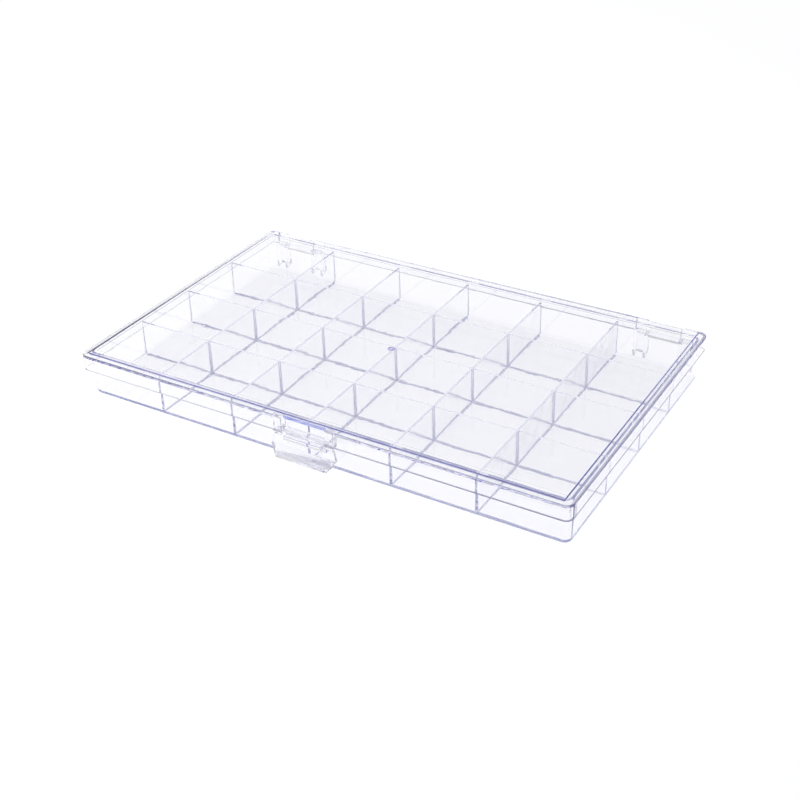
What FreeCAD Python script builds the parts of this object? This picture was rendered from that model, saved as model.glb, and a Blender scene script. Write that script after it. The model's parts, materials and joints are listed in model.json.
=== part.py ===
"""Clear bead box: a shallow tray of twenty-four compartments under one hinged lid with a snap latch.

The frame is +Z up, with the origin at the centre of the tray's flat underside. X is the long
way of the box, the hinges are at +Y and the latch is at -Y. All sizes are in millimetres.
"""
import FreeCAD
import Part
import os
import re
import Sketcher

# Driving sizes, in the order in which the box goes together.
SIZES = {
    "tray_length": 332.4,
    "tray_width": 200.6,
    "tray_height": 27.8,
    "tray_corner_radius": 5.0,
    "tray_foot_radius": 2.5,
    "wall_thickness": 1.8,
    "floor_thickness": 2.0,
    "floor_fillet_radius": 1.2,

    "column_count": 6,
    "row_count": 4,
    "divider_top": 1.3,
    "divider_foot": 2.0,
    "divider_drop": 1.6,

    "lid_end_overhang": 2.6,
    "lid_side_overhang": 5.7,
    "lid_gap": 0.1,
    "lid_corner_radius": 5.0,
    "lid_edge_radius": 0.5,
    "skirt_edge_radius": 0.3,
    "panel_edge_radius": 0.6,
    "rim_thickness": 2.4,
    "skirt_thickness": 1.9,
    "skirt_drop": 8.2,
    "panel_margin_x": 5.4,
    "panel_margin_y": 3.2,
    "panel_rise": 1.0,
    "panel_recess": 0.5,
    "recess_margin": 2.0,
    "gate_x": 2.0,
    "gate_y": -8.0,
    "gate_radius": 2.4,
    "gate_pip_radius": 0.8,
    "gate_depth": 0.4,

    "hinge_end_inset": 25.0,
    "hinge_inset": 2.4,
    "hinge_pin_radius": 1.2,
    "hinge_pin_gap": 0.1,
    "hinge_pin_reach": 1.4,
    "knuckle_width": 20.8,
    "knuckle_radius": 2.2,
    "knuckle_gap": 0.4,
    "tab_thickness": 1.9,
    "bracket_width": 9.0,
    "bracket_radius": 2.4,
    "bracket_wall": 1.6,
    "bracket_floor_gap": 3.0,
    "bracket_slope": 2.5,
    "bracket_notch_gap": 0.4,
    "knuckle_step_gap": 1.8,
    "knuckle_step_depth": 1.0,

    "latch_inset": 2.0,
    "latch_pivot_rise": 2.1,
    "latch_pin_radius": 1.1,
    "latch_pin_gap": 0.1,
    "latch_pin_reach": 2.4,
    "latch_pin_hole_depth": 2.8,
    "latch_barrel_radius": 1.9,
    "latch_end_gap": 0.3,
    "ear_width": 6.1,
    "ear_depth": 5.0,
    "ear_front_rise": 0.6,
    "ear_drop": 0.3,
    "ear_top_step": 0.5,
    "ear_edge_radius": 0.6,
    "rim_notch_depth": 2.7,
    "latch_plate_thickness": 1.8,
    "latch_plate_offset": 0.6,
    "latch_plate_head": 1.0,
    "latch_shoulder_drop": 3.9,
    "latch_shoulder_step": 1.6,
    "latch_bend_drop": 11.1,
    "latch_widest_width": 44.8,
    "latch_wing": 7.5,
    "latch_tip_step": 4.4,
    "latch_floor_gap": 3.1,
    "latch_flare": 4.0,
    "latch_tip_corner": 1.2,
    "latch_shoulder_radius": 1.5,
    "latch_neck_radius": 0.8,
    "latch_head_radius": 0.6,
    "latch_gusset_thickness": 1.2,
    "latch_gusset_foot": 2.3,
    "latch_bead_height": 1.0,
    "latch_bead_width": 24.0,
    "catch_clearance": 0.6,
    "catch_bead_clearance": 0.1,
    "catch_drop": 8.0,
    "catch_gap": 0.2,
    "catch_height": 2.6,
    "catch_width": 30.0,
    "catch_nose_radius": 0.5,

    "cut_overrun": 3.0,
}

# The latch plate's outer corners, as shares of its thickness from the inner corners.
TIP_OUT_SHARE = 0.88
TIP_LIFT_SHARE = 0.47
BEND_LIFT_SHARE = 0.25

# The two sides of the box, each with the sign of its X.
SIDES = (("left", -1), ("right", 1))

# Places that follow from the driving sizes.
COLUMN_PITCH = "(tray_length - 2 * wall_thickness + divider_top) / column_count"
ROW_PITCH = "(tray_width - 2 * wall_thickness + divider_top) / row_count"
LID_LENGTH = "(tray_length + 2 * lid_end_overhang)"
LID_WIDTH = "(tray_width + 2 * lid_side_overhang)"
DIVIDER_CREST = "(tray_height - divider_drop)"
RIM_BOTTOM = "(tray_height + lid_gap)"
RIM_TOP = "(tray_height + lid_gap + rim_thickness)"
SEAM = "(tray_height + lid_gap - skirt_drop)"
HINGE_SPREAD = "(tray_length - 2 * hinge_end_inset)"
HINGE_Y = "(%s / 2 - hinge_inset)" % LID_WIDTH
BRACKET_START = "(knuckle_width / 2 + knuckle_gap)"
BRACKET_END = "(knuckle_width / 2 + knuckle_gap + bracket_width)"
LATCH_Y = "(latch_inset - %s / 2)" % LID_WIDTH
LATCH_Z = "(%s + latch_pivot_rise)" % SEAM
LATCH_PLATE_BACK = "(%s - latch_plate_offset)" % LATCH_Y
LATCH_BEND_Z = "(%s - latch_bend_drop)" % LATCH_Z
CATCH_BOTTOM = "(%s - catch_drop)" % LATCH_Z
EAR_START = "(latch_widest_width / 2 - latch_wing)"
EAR_END = "(%s + ear_width)" % EAR_START
LATCH_NECK = "(%s - latch_end_gap)" % EAR_START
LATCH_SHOULDER = "(latch_widest_width / 2 - latch_shoulder_step)"
LATCH_TIP = "(latch_widest_width / 2 - latch_tip_step)"

doc = FreeCAD.newDocument("bead_box")
sheet = doc.addObject("Spreadsheet::Sheet", "Sizes")
for row, (alias, size) in enumerate(SIZES.items(), start=1):
    sheet.set("A%d" % row, alias)
    sheet.set("B%d" % row, str(size))
    sheet.setAlias("B%d" % row, alias)
doc.recompute()


def bound(text):
    """Points each size named in an expression at its cell of the sheet."""
    return re.sub(r"[a-z][a-z_]*", lambda found: "Sizes." + found.group(0), text)


def value(text):
    """Gives what an expression of sizes comes to."""
    return float(sheet.evalExpression(bound(text)))


def new_body(label):
    made = doc.addObject("PartDesign::Body", label)
    made.Label = label
    return made


def new_sketch(owner, role, height="0"):
    """Starts a sketch on one of the body's origin planes, moved along the plane's normal."""
    plane = next(part for part in owner.Origin.OriginFeatures if part.Role == role)
    drawn = owner.newObject("Sketcher::SketchObject", owner.Label + "_sketch")
    drawn.AttachmentSupport = [(plane, "")]
    drawn.MapMode = "FlatFace"
    drawn.setExpression("AttachmentOffset.Base.z", bound(height))
    return drawn


def pin_point(drawn, geometry, vertex, across, up):
    """Holds a point of a sketch at a place given by two expressions."""
    for kind, text in (("DistanceX", across), ("DistanceY", up)):
        held = drawn.addConstraint(Sketcher.Constraint(kind, -1, 1, geometry, vertex, value(text)))
        drawn.setExpression("Constraints[%d]" % held, bound(text))


def draw_outline(drawn, points):
    """Draws a closed run of straight edges through points given as pairs of expressions."""
    first = drawn.GeometryCount
    corners = [FreeCAD.Vector(value(across), value(up), 0) for across, up in points]
    for start, end in zip(corners, corners[1:] + corners[:1]):
        drawn.addGeometry(Part.LineSegment(start, end))
    for step, (across, up) in enumerate(points):
        following = first + (step + 1) % len(points)
        drawn.addConstraint(Sketcher.Constraint("Coincident", first + step, 2, following, 1))
        pin_point(drawn, first + step, 1, across, up)


def draw_box(drawn, low, high):
    """Draws a rectangle between two corners."""
    draw_outline(drawn, [low, (high[0], low[1]), high, (low[0], high[1])])


def draw_centred_box(drawn, half_across, half_up):
    draw_box(drawn, ("-(%s)" % half_across, "-(%s)" % half_up), (half_across, half_up))


def draw_circle(drawn, across, up, radius):
    middle = FreeCAD.Vector(value(across), value(up), 0)
    upright = FreeCAD.Vector(0, 0, 1)
    ring = drawn.addGeometry(Part.Circle(middle, upright, value(radius)))
    pin_point(drawn, ring, 3, across, up)
    held = drawn.addConstraint(Sketcher.Constraint("Radius", ring, value(radius)))
    drawn.setExpression("Constraints[%d]" % held, bound(radius))


def pad(owner, drawn, length, symmetric=False):
    """Adds material along the sketch's normal, or evenly to both sides of it."""
    made = owner.newObject("PartDesign::Pad", owner.Label + "_pad")
    made.Profile = drawn
    made.SideType = "Symmetric" if symmetric else "One side"
    made.setExpression("Length", bound(length))
    doc.recompute()
    return made


def pocket(owner, drawn, depth, forward=False):
    """Cuts against the sketch's normal, or forward along it, and tests that something went."""
    before = owner.Shape.Volume
    made = owner.newObject("PartDesign::Pocket", owner.Label + "_pocket")
    made.Profile = drawn
    made.Reversed = forward
    made.setExpression("Length", bound(depth))
    doc.recompute()
    if not owner.Shape.Volume < before:
        raise RuntimeError("a pocket of %s cut nothing" % owner.Label)
    return made


SAME_PLACE = 1e-4


def edges_where(shape, test, upright=False):
    """Names the edges whose every end passes a test of its distances from the origin planes."""
    names = []
    for number, edge in enumerate(shape.Edges, start=1):
        box = edge.BoundBox
        if upright and (box.XLength > SAME_PLACE or box.YLength > SAME_PLACE):
            continue
        if all(test(abs(v.X), abs(v.Y), v.Z) for v in edge.Vertexes):
            names.append("Edge%d" % number)
    return names


def upright_corners(shape, corner_x, corner_y):
    """Names the upright edges at the four corners of a rectangle."""
    at_x = value(corner_x)
    at_y = value(corner_y)

    def at_corner(x, y, z):
        return abs(x - at_x) < SAME_PLACE and abs(y - at_y) < SAME_PLACE

    return edges_where(shape, at_corner, upright=True)


def round_edges(owner, names, radius):
    tip = owner.Tip
    made = owner.newObject("PartDesign::Fillet", owner.Label + "_fillet")
    made.Base = (tip, names)
    made.setExpression("Radius", bound(radius))
    doc.recompute()
    return made


def make_tray():
    """The open tray: a thin floor and four walls, with a rounded foot."""
    owner = new_body("base_tray")
    half_x = "tray_length / 2"
    half_y = "tray_width / 2"
    block = new_sketch(owner, "XY_Plane")
    draw_centred_box(block, half_x, half_y)
    pad(owner, block, "tray_height")
    round_edges(owner, upright_corners(owner.Shape, half_x, half_y), "tray_corner_radius")
    round_edges(owner, edges_where(owner.Shape, lambda x, y, z: abs(z) < SAME_PLACE), "tray_foot_radius")

    inner_x = half_x + " - wall_thickness"
    inner_y = half_y + " - wall_thickness"
    hollow = new_sketch(owner, "XY_Plane", "tray_height")
    draw_centred_box(hollow, inner_x, inner_y)
    pocket(owner, hollow, "tray_height - floor_thickness")
    round_edges(owner, upright_corners(owner.Shape, inner_x, inner_y), "tray_corner_radius - wall_thickness")
    floor = value("floor_thickness")
    round_edges(owner, edges_where(owner.Shape, lambda x, y, z: abs(z - floor) < SAME_PLACE),
                "floor_fillet_radius")
    return owner


def draw_divider(drawn, middle):
    """A divider's section: a plate with draft, thicker at its foot."""
    draw_outline(drawn, [
        ("%s - divider_foot / 2" % middle, "floor_thickness"),
        ("%s + divider_foot / 2" % middle, "floor_thickness"),
        ("%s + divider_top / 2" % middle, DIVIDER_CREST),
        ("%s - divider_top / 2" % middle, DIVIDER_CREST),
    ])


def cut_from(label, base, tools):
    """What is left of a piece where others already stand."""
    made = doc.addObject("Part::Cut", label)
    made.Label = label
    made.Base = base
    if len(tools) > 1:
        others = doc.addObject("Part::Compound", label + "_neighbours")
        others.Links = tools
        made.Tool = others
    else:
        made.Tool = tools[0]
    doc.recompute()
    return made


def make_column_divider(number, tray):
    """A plate from the front wall to the back wall, in one length."""
    owner = new_body("column_%d_plate" % number)
    drawn = new_sketch(owner, "XZ_Plane")
    draw_divider(drawn, "(%d - column_count / 2) * (%s)" % (number, COLUMN_PITCH))
    pad(owner, drawn, "tray_width - 2 * wall_thickness", symmetric=True)
    return cut_from("column_divider_%d" % number, owner, [tray])


def make_row_divider(number, tray, columns):
    """A row of short plates, one across each column, between the long plates."""
    owner = new_body("row_%d_plate" % number)
    drawn = new_sketch(owner, "YZ_Plane")
    draw_divider(drawn, "(%d - row_count / 2) * (%s)" % (number, ROW_PITCH))
    pad(owner, drawn, "tray_length - 2 * wall_thickness", symmetric=True)
    return cut_from("row_divider_%d" % number, owner, [tray] + columns)


def make_hinge_bracket(side, sign, place, outward):
    """A hollow ear on the tray's back wall, round the pin's axis and open underneath."""
    owner = new_body("hinge_bracket_%s_%s" % (side, place))
    middle = "(%d * %s / 2)" % (sign, HINGE_SPREAD)
    start = "%s + %s" % (middle, BRACKET_START) if outward > 0 else "%s - %s" % (middle, BRACKET_END)
    wall = "tray_width / 2"
    face = "%s + bracket_radius" % HINGE_Y
    top = "%s + bracket_radius" % SEAM
    profile = new_sketch(owner, "YZ_Plane", start)
    draw_outline(profile, [
        (wall, "bracket_floor_gap"),
        (face, "bracket_floor_gap + bracket_slope"),
        (face, top),
        (wall, top),
    ])
    pad(owner, profile, "bracket_width")
    face_y = value(face)
    top_z = value(top)
    crown = edges_where(owner.Shape, lambda x, y, z: abs(y - face_y) < SAME_PLACE
                        and abs(z - top_z) < SAME_PLACE)
    round_edges(owner, crown, "bracket_radius")

    core = new_sketch(owner, "XY_Plane")
    draw_box(core, (start + " + bracket_wall", wall),
             (start + " + bracket_width - bracket_wall", face + " - bracket_wall"))
    pocket(owner, core, top + " - bracket_wall", forward=True)

    inner_face = start if outward > 0 else start + " + bracket_width"
    bore = new_sketch(owner, "YZ_Plane", inner_face)
    draw_circle(bore, HINGE_Y, SEAM, "hinge_pin_radius + hinge_pin_gap")
    pocket(owner, bore, "bracket_wall", forward=outward > 0)
    return owner


def make_catch():
    """The ledge on the tray's front wall that the latch snaps under."""
    owner = new_body("latch_catch")
    wall = "-tray_width / 2"
    nose = "%s + catch_clearance" % LATCH_PLATE_BACK
    profile = new_sketch(owner, "YZ_Plane")
    draw_box(profile, (nose, CATCH_BOTTOM), (wall, CATCH_BOTTOM + " + catch_height"))
    pad(owner, profile, "catch_width", symmetric=True)
    nose_y = abs(value(nose))
    front = edges_where(owner.Shape, lambda x, y, z: abs(y - nose_y) < SAME_PLACE)
    half = value("catch_width / 2")
    long_edges = [name for name in front if owner.Shape.getElement(name).Length > half]
    round_edges(owner, long_edges, "catch_nose_radius")
    return owner


def make_lid():
    """The lid: a rim plate with a raised panel and a skirt, notched for the hinges and the latch."""
    owner = new_body("lid")
    half_x = LID_LENGTH + " / 2"
    half_y = LID_WIDTH + " / 2"
    block = new_sketch(owner, "XY_Plane", SEAM)
    draw_centred_box(block, half_x, half_y)
    pad(owner, block, "skirt_drop + rim_thickness")
    round_edges(owner, upright_corners(owner.Shape, half_x, half_y), "lid_corner_radius")
    rim_top = value(RIM_TOP)
    round_edges(owner, edges_where(owner.Shape, lambda x, y, z: abs(z - rim_top) < SAME_PLACE),
                "lid_edge_radius")

    inner_x = half_x + " - skirt_thickness"
    inner_y = half_y + " - skirt_thickness"
    hollow = new_sketch(owner, "XY_Plane", SEAM)
    draw_centred_box(hollow, inner_x, inner_y)
    pocket(owner, hollow, "skirt_drop", forward=True)
    round_edges(owner, upright_corners(owner.Shape, inner_x, inner_y), "lid_corner_radius - skirt_thickness")
    seam = value(SEAM)
    round_edges(owner, edges_where(owner.Shape, lambda x, y, z: abs(z - seam) < SAME_PLACE),
                "skirt_edge_radius")

    panel = new_sketch(owner, "XY_Plane", RIM_TOP)
    draw_centred_box(panel, half_x + " - panel_margin_x", half_y + " - panel_margin_y")
    pad(owner, panel, "panel_rise")
    panel_top = value(RIM_TOP + " + panel_rise")
    round_edges(owner, edges_where(owner.Shape, lambda x, y, z: abs(z - panel_top) < SAME_PLACE),
                "panel_edge_radius")
    recess = new_sketch(owner, "XY_Plane", RIM_BOTTOM)
    draw_centred_box(recess, "tray_length / 2 - wall_thickness - recess_margin",
                     "tray_width / 2 - wall_thickness - recess_margin")
    pocket(owner, recess, "panel_recess", forward=True)

    beyond = half_y + " + cut_overrun"
    windows = new_sketch(owner, "XY_Plane", SEAM)
    steps = new_sketch(owner, "XY_Plane", RIM_TOP)
    for side, sign in SIDES:
        middle = "(%d * %s / 2)" % (sign, HINGE_SPREAD)
        half_window = "(%s + bracket_notch_gap)" % BRACKET_END
        draw_box(windows, ("%s - %s" % (middle, half_window), inner_y + " - cut_overrun"),
                 ("%s + %s" % (middle, half_window), beyond))
        half_step = "(knuckle_width / 2 + knuckle_step_gap)"
        draw_box(steps, ("%s - %s" % (middle, half_step), half_y + " - panel_margin_y"),
                 ("%s + %s" % (middle, half_step), beyond))
    pocket(owner, windows, "skirt_drop", forward=True)
    pocket(owner, steps, "knuckle_step_depth")

    latch_notch = new_sketch(owner, "XY_Plane", SEAM)
    draw_box(latch_notch, ("-" + EAR_END, "-(%s)" % beyond), (EAR_END, "rim_notch_depth - " + half_y))
    pocket(owner, latch_notch, "skirt_drop + rim_thickness + cut_overrun", forward=True)

    gate = new_sketch(owner, "XY_Plane", RIM_TOP + " + panel_rise")
    draw_circle(gate, "gate_x", "gate_y", "gate_radius")
    draw_circle(gate, "gate_x", "gate_y", "gate_pip_radius")
    pocket(owner, gate, "gate_depth")
    return owner


def make_hinge_knuckle(side, sign):
    """A tab under the lid's rim that ends in a barrel, with a pin out of each end."""
    owner = new_body("hinge_knuckle_%s" % side)
    middle = "%d * %s / 2" % (sign, HINGE_SPREAD)
    profile = new_sketch(owner, "YZ_Plane", middle)
    back = "%s + knuckle_radius" % HINGE_Y
    draw_box(profile, (back + " - tab_thickness", SEAM), (back, RIM_BOTTOM))
    pad(owner, profile, "knuckle_width", symmetric=True)
    barrel = new_sketch(owner, "YZ_Plane", middle)
    draw_circle(barrel, HINGE_Y, SEAM, "knuckle_radius")
    pad(owner, barrel, "knuckle_width", symmetric=True)
    pins = new_sketch(owner, "YZ_Plane", middle)
    draw_circle(pins, HINGE_Y, SEAM, "hinge_pin_radius")
    pad(owner, pins, "knuckle_width + 2 * (knuckle_gap + hinge_pin_reach)", symmetric=True)
    return owner


def make_latch_ear(side, sign):
    """A block at one end of the lid's latch notch, with the blind hole for the latch's pin."""
    owner = new_body("latch_ear_%s" % side)
    front = "-(%s / 2 + ear_front_rise)" % LID_WIDTH
    back = front + " + ear_depth"
    ledge = "rim_notch_depth - %s / 2" % LID_WIDTH
    bottom = SEAM + " - ear_drop"
    start = EAR_START if sign > 0 else "-" + EAR_END
    profile = new_sketch(owner, "YZ_Plane", start)
    draw_outline(profile, [
        (front, bottom),
        (back, bottom),
        (back, RIM_BOTTOM),
        (ledge, RIM_BOTTOM),
        (ledge, RIM_TOP + " - ear_top_step"),
        (front, RIM_TOP + " - ear_top_step"),
    ])
    pad(owner, profile, "ear_width")
    front_y = abs(value(front))
    in_front = edges_where(owner.Shape, lambda x, y, z: abs(y - front_y) < SAME_PLACE)
    round_edges(owner, in_front, "ear_edge_radius")
    bore = new_sketch(owner, "YZ_Plane", "%d * %s" % (sign, EAR_START))
    draw_circle(bore, LATCH_Y, LATCH_Z, "latch_pin_radius + latch_pin_gap")
    pocket(owner, bore, "latch_pin_hole_depth", forward=sign > 0)
    return owner


def make_latch():
    """The latch: a barrel between the lid's ears, a plate, and a finger tab that flares out."""
    owner = new_body("latch")
    back = LATCH_PLATE_BACK
    front = "%s - latch_plate_thickness" % back
    tip_back = "%s - latch_flare" % back
    head = "%s + latch_plate_head" % LATCH_Z
    profile = new_sketch(owner, "YZ_Plane")
    draw_outline(profile, [
        (back, head),
        (front, head),
        (front, "%s + %s * latch_plate_thickness" % (LATCH_BEND_Z, BEND_LIFT_SHARE)),
        ("%s - %s * latch_plate_thickness" % (tip_back, TIP_OUT_SHARE),
         "latch_floor_gap + %s * latch_plate_thickness" % TIP_LIFT_SHARE),
        (tip_back, "latch_floor_gap"),
        (back, LATCH_BEND_Z),
    ])
    pad(owner, profile, "latch_widest_width", symmetric=True)

    shoulder = "%s - latch_shoulder_drop" % LATCH_Z
    waste = new_sketch(owner, "XZ_Plane", "-(%s) + latch_flare + cut_overrun" % front)
    for side, sign in SIDES:
        beyond = "%d * (latch_widest_width / 2 + cut_overrun)" % sign
        draw_outline(waste, [
            ("%d * %s" % (sign, LATCH_NECK), head + " + cut_overrun"),
            ("%d * %s" % (sign, LATCH_NECK), shoulder),
            ("%d * %s" % (sign, LATCH_SHOULDER), shoulder),
            ("%d * latch_widest_width / 2" % sign, LATCH_BEND_Z),
            ("%d * %s" % (sign, LATCH_TIP), "latch_floor_gap + latch_tip_corner"),
            ("%d * (%s - latch_tip_corner)" % (sign, LATCH_TIP), "latch_floor_gap"),
            ("%d * (%s - latch_tip_corner)" % (sign, LATCH_TIP), "latch_floor_gap - cut_overrun"),
            (beyond, "latch_floor_gap - cut_overrun"),
            (beyond, head + " + cut_overrun"),
        ])
    pocket(owner, waste, "2 * (latch_flare + latch_plate_thickness + cut_overrun)")
    front_y = abs(value(front))
    head_z = value(head)
    round_edges(owner, edges_where(owner.Shape, lambda x, y, z: abs(y - front_y) < SAME_PLACE
                                   and abs(z - head_z) < SAME_PLACE), "latch_head_radius")
    for across, up, radius in (
            (LATCH_NECK, shoulder, "latch_neck_radius"),
            (LATCH_SHOULDER, shoulder, "latch_shoulder_radius")):
        corner_x = value(across)
        corner_z = value(up)
        round_edges(owner, edges_where(owner.Shape, lambda x, y, z: abs(x - corner_x) < SAME_PLACE
                                       and abs(z - corner_z) < SAME_PLACE), radius)

    barrel = new_sketch(owner, "YZ_Plane")
    draw_circle(barrel, LATCH_Y, LATCH_Z, "latch_barrel_radius")
    pad(owner, barrel, "2 * " + LATCH_NECK, symmetric=True)
    pins = new_sketch(owner, "YZ_Plane")
    draw_circle(pins, LATCH_Y, LATCH_Z, "latch_pin_radius")
    pad(owner, pins, "2 * (%s + latch_pin_reach)" % EAR_START, symmetric=True)

    bead = new_sketch(owner, "YZ_Plane")
    bead_top = CATCH_BOTTOM + " - catch_gap"
    draw_box(bead, (back + " - latch_plate_thickness / 2", bead_top + " - latch_bead_height"),
             (back + " + catch_clearance - catch_bead_clearance", bead_top))
    pad(owner, bead, "latch_bead_width", symmetric=True)

    for side, sign in SIDES:
        start = "%d * %s" % (sign, LATCH_TIP)
        if sign < 0:
            start += " - latch_gusset_thickness"
        gusset = new_sketch(owner, "YZ_Plane", start)
        foot = "(latch_floor_gap + latch_gusset_foot)"
        fall = "(%s - latch_floor_gap)" % LATCH_BEND_Z
        foot_reach = "latch_flare * (%s - %s) / %s" % (LATCH_BEND_Z, foot, fall)
        draw_outline(gusset, [
            (back, LATCH_BEND_Z),
            ("%s - %s" % (back, foot_reach), foot),
            (back, foot),
        ])
        pad(owner, gusset, "latch_gusset_thickness")
    return owner


tray_body = make_tray()
column_dividers = [make_column_divider(number, tray_body) for number in range(1, SIZES["column_count"])]
row_dividers = [make_row_divider(number, tray_body, column_dividers)
                for number in range(1, SIZES["row_count"])]
nodes = [tray_body] + column_dividers + row_dividers
nodes.append(make_catch())
for side, sign in SIDES:
    nodes.append(make_hinge_bracket(side, sign, "outer", sign))
    nodes.append(make_hinge_bracket(side, sign, "inner", -sign))
nodes.append(make_lid())
for side, sign in SIDES:
    nodes.append(make_hinge_knuckle(side, sign))
    nodes.append(make_latch_ear(side, sign))
nodes.append(make_latch())
doc.recompute()

for thing in doc.Objects:
    if "Invalid" in thing.State or "Error" in thing.State:
        raise RuntimeError("%s failed: %s" % (thing.Label, thing.State))
for node in nodes:
    if node.Shape.isNull() or not node.Shape.isValid() or not node.Shape.Solids:
        raise RuntimeError("%s has no valid shape" % node.Label)

os.makedirs("parts", exist_ok=True)
for node in nodes:
    node.Shape.exportStep("parts/%s.step" % node.Label)
    print("%s: %d solids, %.1f mm3" % (node.Label, len(node.Shape.Solids), node.Shape.Volume))
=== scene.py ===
"""Clear bead box: a shallow tray of twenty-four compartments under one hinged lid with a snap latch."""
import json
import math

import bmesh
import bpy
from mathutils import Matrix, Vector


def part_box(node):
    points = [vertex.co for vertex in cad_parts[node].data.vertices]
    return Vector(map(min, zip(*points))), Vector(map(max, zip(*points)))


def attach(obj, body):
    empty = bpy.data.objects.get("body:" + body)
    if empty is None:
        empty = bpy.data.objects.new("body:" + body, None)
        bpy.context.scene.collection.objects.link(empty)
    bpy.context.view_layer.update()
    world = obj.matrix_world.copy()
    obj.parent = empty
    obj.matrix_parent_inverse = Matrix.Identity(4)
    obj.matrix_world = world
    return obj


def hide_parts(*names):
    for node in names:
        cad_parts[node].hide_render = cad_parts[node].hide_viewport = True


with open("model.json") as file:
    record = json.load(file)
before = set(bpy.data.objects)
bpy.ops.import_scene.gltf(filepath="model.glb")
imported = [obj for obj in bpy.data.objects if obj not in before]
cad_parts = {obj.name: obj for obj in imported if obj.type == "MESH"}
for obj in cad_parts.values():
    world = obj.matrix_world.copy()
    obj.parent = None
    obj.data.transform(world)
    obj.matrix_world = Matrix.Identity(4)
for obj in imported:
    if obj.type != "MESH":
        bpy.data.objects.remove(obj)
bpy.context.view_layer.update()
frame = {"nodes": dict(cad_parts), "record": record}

# Tray shell: an injection moulding in crystal polystyrene, a thin floor with four walls and a rounded foot.
# It comes out of the mould in one piece with its dividers, hinge brackets and latch ledge, so all of them
# are melted into one closed skin here: clear plastic has no faces inside it where one region meets the next.
MM = 0.001
nodes = frame["nodes"]
tray_nodes = list(frame["record"]["behaviour"]["bodies"]["base"])
WELD = 0.001 * MM
tray_low, tray_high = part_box("base_tray")
TRAY_WALL = 1.8 * MM
TRAY_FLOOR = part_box("column_divider_1")[0].z
inner_low = tray_low + Vector((TRAY_WALL, TRAY_WALL, TRAY_FLOOR))
inner_high = tray_high - Vector((TRAY_WALL, TRAY_WALL, 0))


def copied(name):
    """A clean copy of one packed region of a moulding."""
    shape = bmesh.new()
    shape.from_mesh(nodes[name].data)
    bmesh.ops.remove_doubles(shape, verts=shape.verts[:], dist=WELD)
    return shape


def as_object(shape, name):
    """Makes a finished bmesh an object of the scene."""
    mesh = bpy.data.meshes.new(name)
    shape.to_mesh(mesh)
    shape.free()
    made = bpy.data.objects.new(name, mesh)
    bpy.context.scene.collection.objects.link(made)
    return made


def melt_in(whole, shape):
    """Melts one more region into a moulding's skin."""
    region = as_object(shape, "region")
    melt = whole.modifiers.new("melt", "BOOLEAN")
    melt.operation = "UNION"
    melt.solver = "MANIFOLD"
    melt.object = region
    drawn = whole.evaluated_get(bpy.context.evaluated_depsgraph_get())
    mesh = bpy.data.meshes.new_from_object(drawn)
    whole.modifiers.clear()
    whole.data = mesh
    bpy.data.objects.remove(region)


tray = as_object(copied("base_tray"), "tray_moulding")
for name in tray_nodes:
    if name == "latch_catch" or name.startswith("hinge_bracket"):
        melt_in(tray, copied(name))

# Dividers: five plates across the box and three along it, with a little draft so that they leave the mould.
# Their tops are rounded over, their feet spread into the floor, and where two cross
# the corner is filled by a small radius, as the mould's cutter leaves it.
DIVIDER_TOP = 1.3 * MM
DIVIDER_FOOT = 2.0 * MM
TOP_ROUND = 0.4 * MM
FOOT_SPREAD = 0.9 * MM
CROSSING_RADIUS = 0.6 * MM
WALL_BITE = 0.9 * MM
FLOOR_BITE = 0.6 * MM
ROUND_STEPS = 4
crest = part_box("column_divider_1")[1].z


def arc(across, up, radius, start, end):
    """Points round a quarter circle, both ends among them."""
    points = []
    for step in range(ROUND_STEPS + 1):
        turn = math.radians(start + (end - start) * step / ROUND_STEPS)
        points.append((across + radius * math.cos(turn), up + radius * math.sin(turn)))
    return points


def half_width(height):
    """Half a divider's thickness at a height, by its draft."""
    share = (crest - height) / (crest - TRAY_FLOOR)
    return (DIVIDER_TOP + (DIVIDER_FOOT - DIVIDER_TOP) * share) / 2


def divider(along, middle):
    """One plate from wall to wall; along is the axis that it runs in, middle its place on the other."""
    spread = DIVIDER_FOOT / 2 + FOOT_SPREAD
    side = [(spread, TRAY_FLOOR - FLOOR_BITE)]
    side += arc(spread, TRAY_FLOOR + FOOT_SPREAD, FOOT_SPREAD, 270, 180)
    side += arc(DIVIDER_TOP / 2 - TOP_ROUND, crest - TOP_ROUND, TOP_ROUND, 0, 90)
    outline = side + [(-across, up) for across, up in reversed(side)]
    shape = bmesh.new()
    corners = []
    for across, up in outline:
        place = Vector((0, 0, up))
        place[1 - along] = middle + across
        place[along] = inner_low[along] - WALL_BITE
        corners.append(shape.verts.new(place))
    section = shape.faces.new(corners)
    grown = bmesh.ops.extrude_face_region(shape, geom=[section])["geom"]
    run = Vector((0, 0, 0))
    run[along] = inner_high[along] - inner_low[along] + 2 * WALL_BITE
    bmesh.ops.translate(shape, vec=run, verts=[part for part in grown if isinstance(part, bmesh.types.BMVert)])
    bmesh.ops.recalc_face_normals(shape, faces=shape.faces[:])
    return shape


def add_corner_fill(shape, at_x, at_y):
    """A slim four-cornered post with hollow sides, which rounds the corners where two plates cross."""
    rings = []
    for height in (TRAY_FLOOR - FLOOR_BITE, crest - TOP_ROUND / 2):
        half = half_width(height)
        reach = half + CROSSING_RADIUS
        quarter = arc(reach, reach, CROSSING_RADIUS, 270, 180)
        ring = []
        for turn in range(4):
            spin = Matrix.Rotation(math.radians(90 * turn), 2)
            for across, up in quarter:
                place = spin @ Vector((across, up))
                ring.append(shape.verts.new((at_x + place.x, at_y + place.y, height)))
        rings.append(ring)
    low_face = shape.faces.new(rings[0])
    high_face = shape.faces.new(rings[1])
    edges = list(low_face.edges) + list(high_face.edges)
    bmesh.ops.bridge_loops(shape, edges=edges)


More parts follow.
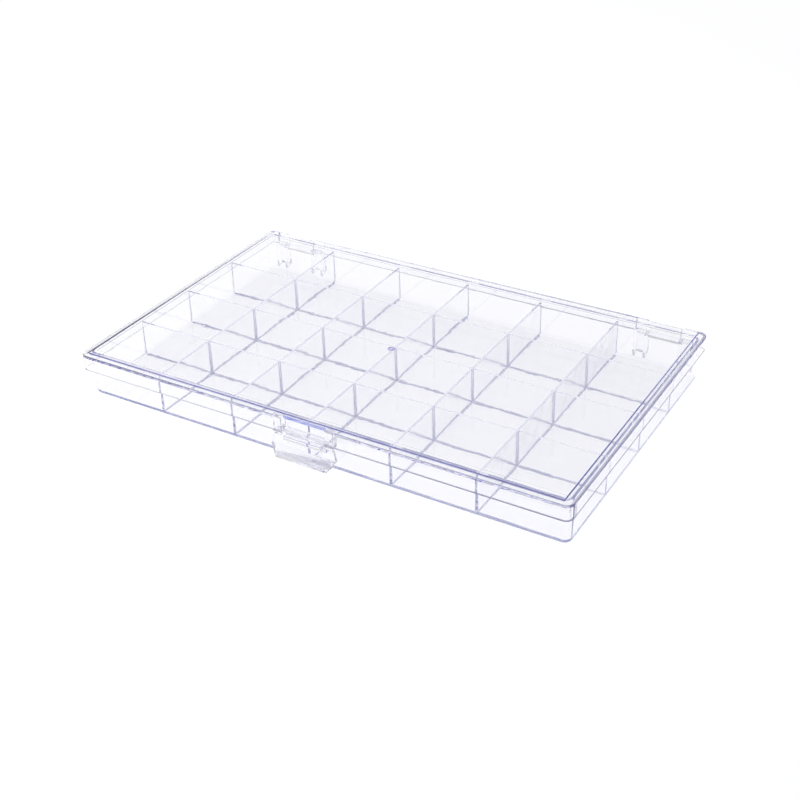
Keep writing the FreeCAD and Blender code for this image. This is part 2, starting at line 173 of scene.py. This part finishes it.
def middles(kind, axis):
    """The places of one kind of divider on the axis that its thickness lies in."""
    places = []
    for name in tray_nodes:
        if name.startswith(kind):
            low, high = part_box(name)
            places.append((low[axis] + high[axis]) / 2)
    return places


columns = middles("column_divider", 0)
rows = middles("row_divider", 1)
for place in columns:
    melt_in(tray, divider(1, place))
for place in rows:
    melt_in(tray, divider(0, place))
fills = bmesh.new()
for at_x in columns:
    for at_y in rows:
        add_corner_fill(fills, at_x, at_y)
bmesh.ops.recalc_face_normals(fills, faces=fills.faces[:])
melt_in(tray, fills)

# Clear plastic of the three mouldings: crystal polystyrene with a mould-polished skin, faintly rippled where
# the melt flowed. It bends light more than glass does, and takes out a little red and green on the way
# through, which shows blue in the edges.
POLYSTYRENE_IOR = 1.59
EDGE_TINT = (0.50, 0.52, 0.82, 1)
TRAY_DENSITY = 8.0
LID_DENSITY = 2.0
SKIN_TINT = (0.99, 0.99, 0.995, 1)
SHADOW_TINT = (0.98, 0.98, 0.98, 1)
FLOW_SCALE = 55.0
FLOW_DETAIL = 2.0
FLOW_HEIGHT = 0.10 * MM
SQUARE_ON = 0.9995
SMOOTH_UNDER = math.radians(50)


def clear_plastic(name, density, painted_marks=None):
    """The plastic of one moulding, tinted by its depth; light on its way to the paper isn't bent by it."""
    made = bpy.data.materials.new(name)
    made.use_nodes = True
    tree = made.node_tree
    tree.nodes.clear()
    out = tree.nodes.new("ShaderNodeOutputMaterial")
    body = tree.nodes.new("ShaderNodeBsdfPrincipled")
    body.inputs["Base Color"].default_value = SKIN_TINT
    body.inputs["Roughness"].default_value = 0.0
    body.inputs["IOR"].default_value = POLYSTYRENE_IOR
    body.inputs["Transmission Weight"].default_value = 1.0
    place = tree.nodes.new("ShaderNodeTexCoord")
    flow = tree.nodes.new("ShaderNodeTexNoise")
    flow.inputs["Scale"].default_value = FLOW_SCALE
    flow.inputs["Detail"].default_value = FLOW_DETAIL
    ripple = tree.nodes.new("ShaderNodeBump")
    ripple.inputs["Strength"].default_value = 1.0
    ripple.inputs["Distance"].default_value = FLOW_HEIGHT
    tree.links.new(place.outputs["Object"], flow.inputs["Vector"])
    tree.links.new(flow.outputs["Fac"], ripple.inputs["Height"])
    tree.links.new(ripple.outputs["Normal"], body.inputs["Normal"])
    surface = body.outputs["BSDF"]
    # Painted shade and painted light laid over the skin, where the moulding is given any.
    if painted_marks:
        surface = painted_marks(tree, place.outputs["Object"], surface)
    glancing = tree.nodes.new("ShaderNodeFresnel")
    glancing.inputs["IOR"].default_value = POLYSTYRENE_IOR
    open_way = tree.nodes.new("ShaderNodeBsdfTransparent")
    lost = tree.nodes.new("ShaderNodeBsdfTransparent")
    lost.inputs["Color"].default_value = SHADOW_TINT
    clear = tree.nodes.new("ShaderNodeMixShader")
    tree.links.new(glancing.outputs["Fac"], clear.inputs["Fac"])
    tree.links.new(open_way.outputs["BSDF"], clear.inputs[1])
    tree.links.new(lost.outputs["BSDF"], clear.inputs[2])
    path = tree.nodes.new("ShaderNodeLightPath")
    either = tree.nodes.new("ShaderNodeMath")
    either.operation = "MAXIMUM"
    mix = tree.nodes.new("ShaderNodeMixShader")
    tree.links.new(path.outputs["Is Shadow Ray"], either.inputs[0])
    tree.links.new(path.outputs["Is Diffuse Ray"], either.inputs[1])
    tree.links.new(either.outputs["Value"], mix.inputs["Fac"])
    tree.links.new(surface, mix.inputs[1])
    tree.links.new(clear.outputs["Shader"], mix.inputs[2])
    tree.links.new(mix.outputs["Shader"], out.inputs["Surface"])
    deep = tree.nodes.new("ShaderNodeVolumeAbsorption")
    deep.inputs["Color"].default_value = EDGE_TINT
    deep.inputs["Density"].default_value = density
    tree.links.new(deep.outputs["Volume"], out.inputs["Volume"])
    return made


def polish(whole, plastic):
    """Leaves flat faces flat and lets light run smoothly round the small radii."""
    whole.data.materials.clear()
    whole.data.materials.append(plastic)
    whole.data.set_sharp_from_angle(angle=SMOOTH_UNDER)
    for face in whole.data.polygons:
        face.use_smooth = max(abs(part) for part in face.normal) < SQUARE_ON
        face.material_index = 0


polish(tray, clear_plastic("clear_tray", TRAY_DENSITY))
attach(tray, "base")
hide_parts(*tray_nodes)

# Lid: one moulding in the same plastic, a rim plate with a raised panel and a shallow skirt, moulded with its
# two hinge knuckles, their pins and the two ears that carry the latch. Painted shade draws thin dark lines on the
# panel's step, beside its left run and on the skirt's lip, and painted blue light lies on the cut face over the
# latch.
PANEL_STEP = 1.0 * MM
PANEL_MARGIN = (5.4 * MM, 3.2 * MM)
RIM_PLATE = 2.4 * MM
SKIRT_LIP = 0.5 * MM
NOTCH_DEPTH = 2.7 * MM
NOTCH_HALF = 14.9 * MM
HAIR = 0.02 * MM
# Painted shade: a dark blue line on the panel's step.
STEP_PAINTED_SHADE = (0.03, 0.03, 0.42, 1)
STEP_SHADE_SHARE = 0.46
# Painted shade: a dark seam line along the skirt's lip, darker towards the right.
LIP_PAINTED_SHADE = (0.07, 0.07, 0.24, 1)
LIP_SHADE_SHARE = 0.20
LIP_SHADE_SHARE_PER_METRE = 1.7
# Painted light: blue on the cut face over the latch, where light that runs inside the lid comes out.
NOTCH_PAINTED_LIGHT = (0.36, 0.43, 0.95, 1)
NOTCH_LIGHT_SHARE = 0.55
# Painted shade: near-black strips beside the panel's left run, fading towards the back.
FOOT_PAINTED_SHADE = (0.01, 0.01, 0.03, 1)
FOOT_MIDDLE = 0.66
FOOT_PER_METRE = -5.5
# Each strip of painted shade beside the panel's left run has its gap from the panel, its half width and its share
# of shade.
FOOT_LINE = (1.6 * MM, 0.5 * MM, 0.85)
FOOT_BAND = (2.8 * MM, 1.4 * MM, 0.13)
lid_low, lid_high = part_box("lid")


def reckon(tree, operation, *values):
    """One step of arithmetic; each value is a number or what another node gives."""
    step = tree.nodes.new("ShaderNodeMath")
    step.operation = operation
    for number, value in enumerate(values):
        if isinstance(value, (int, float)):
            step.inputs[number].default_value = value
        else:
            tree.links.new(value, step.inputs[number])
    return step.outputs["Value"]


def paint_over(tree, surface, colour, share):
    """Paints one colour, as painted shade or painted light, over a share of the surface."""
    paint_layer = tree.nodes.new("ShaderNodeBsdfDiffuse")
    paint_layer.inputs["Color"].default_value = colour
    mix = tree.nodes.new("ShaderNodeMixShader")
    tree.links.new(share, mix.inputs["Fac"])
    tree.links.new(surface, mix.inputs[1])
    tree.links.new(paint_layer.outputs["BSDF"], mix.inputs[2])
    return mix.outputs["Shader"]


def lid_painted_shade_and_light(tree, place, surface):
    """Paints the lid's dark lines of shade and its blue light, each by its place on the moulding."""
    parts = tree.nodes.new("ShaderNodeSeparateXYZ")
    tree.links.new(place, parts.inputs["Vector"])
    x, y, z = parts.outputs
    step_foot = lid_high.z - PANEL_STEP
    # Painted shade on the panel's step and on the skirt's lip.
    on_step = reckon(tree, "COMPARE", z, step_foot + PANEL_STEP / 2, PANEL_STEP / 2 - HAIR)
    on_lip = reckon(tree, "COMPARE", z, lid_low.z, SKIRT_LIP)
    on_rim = reckon(tree, "COMPARE", z, step_foot, HAIR)
    lip_shade = reckon(tree, "MULTIPLY", on_lip, reckon(tree, "MULTIPLY_ADD", x, LIP_SHADE_SHARE_PER_METRE, LIP_SHADE_SHARE))
    step_shade = reckon(tree, "MULTIPLY", on_step, STEP_SHADE_SHARE)
    # Painted shade in two strips beside the panel's left run, only on the rim and fading towards the back.
    left = lid_low.x + PANEL_MARGIN[0]
    left_shade_depth = 0.0
    for gap, half, shade_share in (FOOT_LINE, FOOT_BAND):
        strip = reckon(tree, "COMPARE", x, left - gap, half)
        left_shade_depth = reckon(tree, "MULTIPLY_ADD", strip, shade_share, left_shade_depth)
    along = reckon(tree, "MAXIMUM", reckon(tree, "MULTIPLY_ADD", y, FOOT_PER_METRE, FOOT_MIDDLE), 0.0)
    behind = reckon(tree, "GREATER_THAN", y, lid_low.y + PANEL_MARGIN[1])
    shown = reckon(tree, "MULTIPLY", reckon(tree, "MULTIPLY", on_rim, behind), reckon(tree, "MINIMUM", along, 1.0))
    left_shade = reckon(tree, "MULTIPLY", left_shade_depth, shown)
    surface = paint_over(tree, surface, STEP_PAINTED_SHADE, step_shade)
    surface = paint_over(tree, surface, LIP_PAINTED_SHADE, lip_shade)
    surface = paint_over(tree, surface, FOOT_PAINTED_SHADE, left_shade)
    # Painted blue light on the cut face between the ears over the latch.
    cut = reckon(tree, "COMPARE", y, lid_low.y + NOTCH_DEPTH, HAIR)
    between = reckon(tree, "COMPARE", x, 0.0, NOTCH_HALF)
    through = reckon(tree, "COMPARE", z, step_foot - RIM_PLATE / 2, RIM_PLATE / 2)
    notch_light = reckon(tree, "MULTIPLY", reckon(tree, "MULTIPLY", cut, between), through)
    return paint_over(tree, surface, NOTCH_PAINTED_LIGHT, reckon(tree, "MULTIPLY", notch_light, NOTCH_LIGHT_SHARE))


lid_nodes = list(frame["record"]["behaviour"]["bodies"]["lid"])
lid = as_object(copied("lid"), "lid_moulding")
for name in lid_nodes:
    if name != "lid":
        melt_in(lid, copied(name))
polish(lid, clear_plastic("clear_lid", LID_DENSITY, lid_painted_shade_and_light))
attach(lid, "lid")
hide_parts(*lid_nodes)

# Latch: a third small moulding, a barrel with two pins that snap into the lid's ears, and a plate
# that ends in a flared finger tab with a rib at each side.
latch = as_object(copied("latch"), "latch_moulding")
polish(latch, clear_plastic("clear_latch", LID_DENSITY))
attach(latch, "latch")
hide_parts("latch")

# Floor: a plain white paper sheet under the box, wide enough to fill the view. Its fibres shade it by a
# hair and roughen it a little, and some way from the box it runs out into the white of the room.
FLOOR_HALF = 8.0
FLOOR_DROP = 0.2 * MM
FIBRE_SCALE = 900.0
FIBRE_HEIGHT = 0.02 * MM
FADE_FROM = 0.45
FADE_TO = 1.1
PAPER_SHADES = ((0.925, 0.925, 0.925, 1), (0.935, 0.935, 0.935, 1))
sheet = bmesh.new()
bmesh.ops.create_grid(sheet, x_segments=1, y_segments=1, size=FLOOR_HALF)
bmesh.ops.translate(sheet, vec=(0, 0, -FLOOR_DROP), verts=sheet.verts[:])
floor = as_object(sheet, "floor")
paper = bpy.data.materials.new("white_paper")
paper.use_nodes = True
tree = paper.node_tree
shader = tree.nodes["Principled BSDF"]
place = tree.nodes.new("ShaderNodeTexCoord")
fibre = tree.nodes.new("ShaderNodeTexNoise")
fibre.inputs["Scale"].default_value = FIBRE_SCALE
tone = tree.nodes.new("ShaderNodeValToRGB")
tone.color_ramp.elements[0].color = PAPER_SHADES[0]
tone.color_ramp.elements[1].color = PAPER_SHADES[1]
grain = tree.nodes.new("ShaderNodeBump")
grain.inputs["Distance"].default_value = FIBRE_HEIGHT
tree.links.new(place.outputs["Object"], fibre.inputs["Vector"])
tree.links.new(fibre.outputs["Fac"], tone.inputs["Fac"])
tree.links.new(tone.outputs["Color"], shader.inputs["Base Color"])
tree.links.new(fibre.outputs["Fac"], grain.inputs["Height"])
tree.links.new(grain.outputs["Normal"], shader.inputs["Normal"])
shader.inputs["Roughness"].default_value = 1.0
shader.inputs["Specular IOR Level"].default_value = 0.0
white = tree.nodes.new("ShaderNodeEmission")
far = tree.nodes.new("ShaderNodeVectorMath")
far.operation = "LENGTH"
faded = tree.nodes.new("ShaderNodeMapRange")
faded.inputs["From Min"].default_value = FADE_FROM
faded.inputs["From Max"].default_value = FADE_TO
path = tree.nodes.new("ShaderNodeLightPath")
share = tree.nodes.new("ShaderNodeMath")
share.operation = "MULTIPLY"
sweep = tree.nodes.new("ShaderNodeMixShader")
tree.links.new(place.outputs["Object"], far.inputs[0])
tree.links.new(far.outputs["Value"], faded.inputs["Value"])
tree.links.new(faded.outputs["Result"], share.inputs[0])
tree.links.new(path.outputs["Is Camera Ray"], share.inputs[1])
tree.links.new(share.outputs["Value"], sweep.inputs["Fac"])
tree.links.new(shader.outputs["BSDF"], sweep.inputs[1])
tree.links.new(white.outputs["Emission"], sweep.inputs[2])
tree.links.new(sweep.outputs["Shader"], tree.nodes["Material Output"].inputs["Surface"])
floor.data.materials.append(paper)

# Light: a large soft box above the box's left side, whose own image is kept out of the plastic, where it would
# hide the compartments. The room is white over and behind the box and falls off to a dim blue on the camera's
# side, which draws the dark lines in the clear edges.
ROOM_SLOPE = (-0.35, 0.60, 0.90)
ROOM_SHADES = (
    (0.15, (0.15, 0.16, 0.36)),
    (0.35, (0.36, 0.38, 0.66)),
    (0.60, (0.88, 0.88, 0.97)),
    (0.85, (1.0, 1.0, 1.0)),
)
ROOM_STRENGTH = 0.68
room = bpy.data.worlds.new("white_room")
bpy.context.scene.world = room
room.use_nodes = True
tree = room.node_tree
tree.nodes.clear()
out = tree.nodes.new("ShaderNodeOutputWorld")
walls = tree.nodes.new("ShaderNodeBackground")
walls.inputs["Strength"].default_value = ROOM_STRENGTH
seen = tree.nodes.new("ShaderNodeBackground")
seen.inputs["Color"].default_value = (1, 1, 1, 1)
seen.inputs["Strength"].default_value = 1.0
place = tree.nodes.new("ShaderNodeTexCoord")
slope = tree.nodes.new("ShaderNodeVectorMath")
slope.operation = "DOT_PRODUCT"
slope.inputs[1].default_value = ROOM_SLOPE
share = tree.nodes.new("ShaderNodeMath")
share.operation = "MULTIPLY_ADD"
share.inputs[1].default_value = 0.5
share.inputs[2].default_value = 0.5
shade = tree.nodes.new("ShaderNodeValToRGB")
stops = shade.color_ramp.elements
for number, (height, colour) in enumerate(ROOM_SHADES):
    stop = stops[number] if number < len(stops) else stops.new(height)
    stop.position = height
    stop.color = (*colour, 1)
path = tree.nodes.new("ShaderNodeLightPath")
mix = tree.nodes.new("ShaderNodeMixShader")
tree.links.new(place.outputs["Generated"], slope.inputs[0])
tree.links.new(slope.outputs["Value"], share.inputs[0])
tree.links.new(share.outputs["Value"], shade.inputs["Fac"])
tree.links.new(shade.outputs["Color"], walls.inputs["Color"])
tree.links.new(path.outputs["Is Camera Ray"], mix.inputs["Fac"])
tree.links.new(walls.outputs["Background"], mix.inputs[1])
tree.links.new(seen.outputs["Background"], mix.inputs[2])
tree.links.new(mix.outputs["Shader"], out.inputs["Surface"])

SOFT_BOX_SIDE = 1.6
SOFT_BOX_PLACE = (-0.6, 0.0, 1.6)
SOFT_BOX_POWER = 22.5
lamp = bpy.data.lights.new("soft_box", "AREA")
lamp.shape = "SQUARE"
lamp.size = SOFT_BOX_SIDE
lamp.energy = SOFT_BOX_POWER
soft_box = bpy.data.objects.new("soft_box", lamp)
soft_box.location = SOFT_BOX_PLACE
soft_box.visible_glossy = False
soft_box.visible_transmission = False
bpy.context.scene.collection.objects.link(soft_box)

# Camera: a long lens above the box's right front corner, as the photograph was taken, and turned a little
# about its own axis, so that the box lies in the picture at the same slant.
CAMERA_PLACE = Vector((0.38274, -0.63392, 0.44855))
CAMERA_AIM = Vector((0.03654, -0.05654, 0.0302))
CAMERA_ROLL = math.radians(1.307)
SENSOR_WIDTH = 36.0
FOCAL_LENGTH = 60.41
lens = bpy.data.cameras.new("camera")
lens.sensor_width = SENSOR_WIDTH
lens.lens = FOCAL_LENGTH
camera = bpy.data.objects.new("camera", lens)
forward = (CAMERA_AIM - CAMERA_PLACE).normalized()
level = forward.cross(Vector((0, 0, 1))).normalized()
right = Matrix.Rotation(CAMERA_ROLL, 3, forward) @ level
turned = Matrix((right, right.cross(forward), -forward)).transposed().to_4x4()
camera.matrix_world = Matrix.Translation(CAMERA_PLACE) @ turned
bpy.context.scene.collection.objects.link(camera)
bpy.context.scene.camera = camera

# Picture: plain colours with no curve laid over them, and enough bounces for light to get through every wall
# of the box and to run along inside its edges.
LIGHT_BOUNCES = 128
CLEAR_BOUNCES = 48
scene = bpy.context.scene
scene.view_settings.view_transform = "Standard"
scene.cycles.max_bounces = LIGHT_BOUNCES
scene.cycles.transmission_bounces = LIGHT_BOUNCES
scene.cycles.glossy_bounces = LIGHT_BOUNCES
scene.cycles.transparent_max_bounces = CLEAR_BOUNCES
